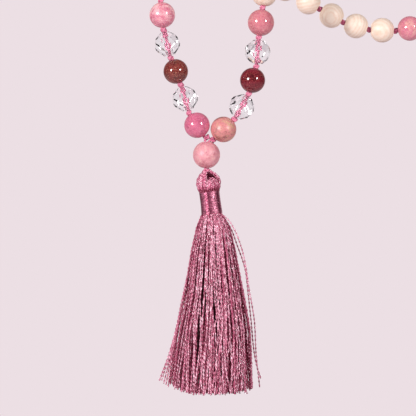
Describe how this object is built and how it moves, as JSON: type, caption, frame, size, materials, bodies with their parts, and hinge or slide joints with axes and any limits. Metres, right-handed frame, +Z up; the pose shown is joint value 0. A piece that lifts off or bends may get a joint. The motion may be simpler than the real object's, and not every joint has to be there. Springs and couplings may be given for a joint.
{
  "type": "mala prayer beads",
  "caption": "Knotted mala of wood, rhodonite, rock crystal and strawberry quartz beads with a guru bead and a long silk tassel, draped over a bar.",
  "frame": {"origin": "on the axis of the 20 mm bar that the mala hangs over, midway above the guru bead", "axes": "+X along the bar to the right, -Y towards the front where the tassel hangs, +Z up"},
  "size_m": [0.1947, 0.0466, 0.2847],
  "materials": {
    "rhodonite": "polished pink stone with beige and grey patches",
    "crystal": "clear faceted rock crystal",
    "strawberry_quartz": "polished dark red stone with fine specks",
    "wood": "pale unvarnished wood, fine grain",
    "cord": "pink twisted silk cord, satin",
    "tassel_thread": "shiny twisted rayon thread",
    "tassel_binding": "close-wound satin thread"
  },
  "bodies": {
    "strand_on_bar": {"cord_over_bar_left": "cord", "cord_over_bar_right": "cord", "wood_beads_22_to_26": "wood", "wood_beads_71_to_81": "wood", "wood_beads_83_to_87": "wood"},
    "front_loop": {"cord_front_left": "cord", "cord_front_right": "cord", "wood_beads_7_to_21": "wood", "wood_beads_88_to_102": "wood"},
    "gem_loop": {"cord_gems_left": "cord", "cord_gems_right": "cord"},
    "guru": {"guru_bead": "rhodonite", "guru_cords": "cord"},
    "tassel_link": {"tassel_hanging_knot": "cord"},
    "tassel": {"tassel_threads": "tassel_thread", "tassel_binding": "tassel_binding"},
    "back_loop": {"cord_back_left": "cord", "cord_back_right": "cord", "wood_beads_28_to_39": "wood", "wood_beads_59_to_70": "wood"},
    "rear_swag": {"cord_rear_swag": "cord", "wood_beads_40_to_44": "wood"},
    "rhodonite_bead_1": {"rhodonite_bead_1": "rhodonite"},
    "crystal_bead_2": {"crystal_bead_2": "crystal"},
    "strawberry_quartz_bead_3": {"strawberry_quartz_bead_3": "strawberry_quartz"},
    "crystal_bead_4": {"crystal_bead_4": "crystal"},
    "rhodonite_bead_5": {"rhodonite_bead_5": "rhodonite"},
    "wood_bead_6": {"wood_bead_6": "wood"},
    "rhodonite_bead_27": {"rhodonite_bead_27": "rhodonite"},
    "wood_bead_45": {"wood_bead_45": "wood"},
    "wood_bead_46": {"wood_bead_46": "wood"},
    "wood_bead_47": {"wood_bead_47": "wood"},
    "wood_bead_48": {"wood_bead_48": "wood"},
    "wood_bead_49": {"wood_bead_49": "wood"},
    "rhodonite_bead_50": {"rhodonite_bead_50": "rhodonite"},
    "crystal_bead_51": {"crystal_bead_51": "crystal"},
    "strawberry_quartz_bead_52": {"strawberry_quartz_bead_52": "strawberry_quartz"},
    "crystal_bead_53": {"crystal_bead_53": "crystal"},
    "rhodonite_bead_54": {"rhodonite_bead_54": "rhodonite"},
    "crystal_bead_55": {"crystal_bead_55": "crystal"},
    "strawberry_quartz_bead_56": {"strawberry_quartz_bead_56": "strawberry_quartz"},
    "crystal_bead_57": {"crystal_bead_57": "crystal"},
    "rhodonite_bead_58": {"rhodonite_bead_58": "rhodonite"},
    "rhodonite_bead_82": {"rhodonite_bead_82": "rhodonite"},
    "wood_bead_103": {"wood_bead_103": "wood"},
    "rhodonite_bead_104": {"rhodonite_bead_104": "rhodonite"},
    "crystal_bead_105": {"crystal_bead_105": "crystal"},
    "strawberry_quartz_bead_106": {"strawberry_quartz_bead_106": "strawberry_quartz"},
    "crystal_bead_107": {"crystal_bead_107": "crystal"},
    "rhodonite_bead_108": {"rhodonite_bead_108": "rhodonite"}
  },
  "joints": [
    {"name": "front_loop_swing", "type": "hinge", "parent": "strand_on_bar", "child": "front_loop", "pos_m": [-0.03253, -0.01415, -0.00522], "axis": [-0.9994, -0.0014, 0.0356], "range_deg": [-4, 45]},
    {"name": "gem_loop_swing", "type": "hinge", "parent": "front_loop", "child": "gem_loop", "pos_m": [-0.0143, -0.01402, -0.14363], "axis": [-0.9972, -0.0008, 0.0744], "range_deg": [-40, 50]},
    {"name": "guru_swing", "type": "hinge", "parent": "gem_loop", "child": "guru", "pos_m": [-0.0005, -0.014, -0.1866], "axis": [-0.9701, 0, 0.2425], "range_deg": [-50, 50]},
    {"name": "tassel_side_swing", "type": "hinge", "parent": "guru", "child": "tassel_link", "pos_m": [0, -0.014, -0.1966], "axis": [0, 1, 0], "range_deg": [-28, 28]},
    {"name": "tassel_swing", "type": "hinge", "parent": "tassel_link", "child": "tassel", "pos_m": [0, -0.014, -0.1966], "axis": [-1, 0, 0], "range_deg": [-28, 28]},
    {"name": "back_loop_swing", "type": "hinge", "parent": "strand_on_bar", "child": "back_loop", "pos_m": [-0.03491, 0.01418, -0.00373], "axis": [0.9999, -0.0003, 0.0126], "range_deg": [-3, 45]},
    {"name": "rear_swag_swing", "type": "hinge", "parent": "back_loop", "child": "rear_swag", "pos_m": [-0.00762, 0.014, -0.10378], "axis": [0.9998, 0, 0.0209], "range_deg": [-5, 45]},
    {"name": "rhodonite_bead_1_spin", "type": "hinge", "parent": "gem_loop", "child": "rhodonite_bead_1", "pos_m": [-0.00297, -0.01408, -0.18272], "axis": [-0.5378, -0.0166, 0.8429], "continuous": true},
    {"name": "crystal_bead_2_spin", "type": "hinge", "parent": "gem_loop", "child": "crystal_bead_2", "pos_m": [-0.00672, -0.01418, -0.17447], "axis": [-0.2785, -0.0051, 0.9604], "continuous": true},
    {"name": "strawberry_quartz_bead_3_spin", "type": "hinge", "parent": "gem_loop", "child": "strawberry_quartz_bead_3", "pos_m": [-0.00961, -0.01404, -0.16591], "axis": [-0.3616, 0.0349, 0.9317], "continuous": true},
    {"name": "crystal_bead_4_spin", "type": "hinge", "parent": "gem_loop", "child": "crystal_bead_4", "pos_m": [-0.0123, -0.01388, -0.15734], "axis": [-0.2358, 0.0012, 0.9718], "continuous": true},
    {"name": "rhodonite_bead_5_spin", "type": "hinge", "parent": "gem_loop", "child": "rhodonite_bead_5", "pos_m": [-0.01383, -0.01395, -0.14829], "axis": [-0.1001, -0.016, 0.9949], "continuous": true},
    {"name": "wood_bead_6_spin", "type": "hinge", "parent": "front_loop", "child": "wood_bead_6", "pos_m": [-0.01514, -0.01401, -0.13935], "axis": [-0.1935, 0.0029, 0.9811], "continuous": true},
    {"name": "rhodonite_bead_27_spin", "type": "hinge", "parent": "strand_on_bar", "child": "rhodonite_bead_27", "pos_m": [-0.03485, 0.01353, 0.00088], "axis": [-0.0132, 0.1399, -0.9901], "continuous": true},
    {"name": "wood_bead_45_spin", "type": "hinge", "parent": "rear_swag", "child": "wood_bead_45", "pos_m": [0.02555, 0.01405, -0.13729], "axis": [0.8752, 0.0139, -0.4836], "continuous": true},
    {"name": "wood_bead_46_spin", "type": "hinge", "parent": "rear_swag", "child": "wood_bead_46", "pos_m": [0.03311, 0.01411, -0.14165], "axis": [0.8567, 0.0004, -0.5159], "continuous": true},
    {"name": "wood_bead_47_spin", "type": "hinge", "parent": "rear_swag", "child": "wood_bead_47", "pos_m": [0.04063, 0.01399, -0.14606], "axis": [0.8689, -0.0288, -0.4942], "continuous": true},
    {"name": "wood_bead_48_spin", "type": "hinge", "parent": "rear_swag", "child": "wood_bead_48", "pos_m": [0.04858, 0.01388, -0.14944], "axis": [0.9592, 0.0042, -0.2829], "continuous": true},
    {"name": "wood_bead_49_spin", "type": "hinge", "parent": "rear_swag", "child": "wood_bead_49", "pos_m": [0.0571, 0.01395, -0.15082], "axis": [0.9993, 0.0133, -0.0345], "continuous": true},
    {"name": "rhodonite_bead_50_spin", "type": "hinge", "parent": "rear_swag", "child": "rhodonite_bead_50", "pos_m": [0.06607, 0.01401, -0.15023], "axis": [0.9876, -0.0013, 0.1573], "continuous": true},
    {"name": "crystal_bead_51_spin", "type": "hinge", "parent": "rear_swag", "child": "crystal_bead_51", "pos_m": [0.07499, 0.014, -0.14797], "axis": [0.9424, 0, 0.3345], "continuous": true},
    {"name": "strawberry_quartz_bead_52_spin", "type": "hinge", "parent": "rear_swag", "child": "strawberry_quartz_bead_52", "pos_m": [0.08323, 0.014, -0.14431], "axis": [0.8791, 0, 0.4767], "continuous": true},
    {"name": "crystal_bead_53_spin", "type": "hinge", "parent": "rear_swag", "child": "crystal_bead_53", "pos_m": [0.09087, 0.014, -0.13951], "axis": [0.8112, 0, 0.5847], "continuous": true},
    {"name": "rhodonite_bead_54_spin", "type": "hinge", "parent": "rear_swag", "child": "rhodonite_bead_54", "pos_m": [0.098, 0.014, -0.13365], "axis": [0.7318, 0, 0.6815], "continuous": true},
    {"name": "crystal_bead_55_spin", "type": "hinge", "parent": "rear_swag", "child": "crystal_bead_55", "pos_m": [0.10441, 0.014, -0.127], "axis": [0.6535, 0, 0.7569], "continuous": true},
    {"name": "strawberry_quartz_bead_56_spin", "type": "hinge", "parent": "rear_swag", "child": "strawberry_quartz_bead_56", "pos_m": [0.11016, 0.014, -0.12001], "axis": [0.6164, 0, 0.7874], "continuous": true},
    {"name": "crystal_bead_57_spin", "type": "hinge", "parent": "rear_swag", "child": "crystal_bead_57", "pos_m": [0.11555, 0.014, -0.11274], "axis": [0.5747, 0, 0.8184], "continuous": true},
    {"name": "rhodonite_bead_58_spin", "type": "hinge", "parent": "rear_swag", "child": "rhodonite_bead_58", "pos_m": [0.12065, 0.014, -0.10503], "axis": [0.5284, 0, 0.849], "continuous": true},
    {"name": "rhodonite_bead_82_spin", "type": "hinge", "parent": "strand_on_bar", "child": "rhodonite_bead_82", "pos_m": [0.06512, 0.00012, 0.01402], "axis": [-0.9999, 0.0122, -0.0003], "continuous": true},
    {"name": "wood_bead_103_spin", "type": "hinge", "parent": "front_loop", "child": "wood_bead_103", "pos_m": [0.0181, -0.014, -0.14168], "axis": [-0.1059, 0, -0.9944], "continuous": true},
    {"name": "rhodonite_bead_104_spin", "type": "hinge", "parent": "gem_loop", "child": "rhodonite_bead_104", "pos_m": [0.01702, -0.014, -0.15066], "axis": [-0.1333, 0, -0.9911], "continuous": true},
    {"name": "crystal_bead_105_spin", "type": "hinge", "parent": "gem_loop", "child": "crystal_bead_105", "pos_m": [0.01597, -0.014, -0.15985], "axis": [-0.0923, 0, -0.9957], "continuous": true},
    {"name": "strawberry_quartz_bead_106_spin", "type": "hinge", "parent": "gem_loop", "child": "strawberry_quartz_bead_106", "pos_m": [0.0144, -0.014, -0.16868], "axis": [-0.2584, 0, -0.966], "continuous": true},
    {"name": "crystal_bead_107_spin", "type": "hinge", "parent": "gem_loop", "child": "crystal_bead_107", "pos_m": [0.01098, -0.014, -0.17693], "axis": [-0.4979, 0, -0.8672], "continuous": true},
    {"name": "rhodonite_bead_108_spin", "type": "hinge", "parent": "gem_loop", "child": "rhodonite_bead_108", "pos_m": [0.0053, -0.014, -0.18404], "axis": [-0.7333, 0, -0.6799], "continuous": true}
  ]
}
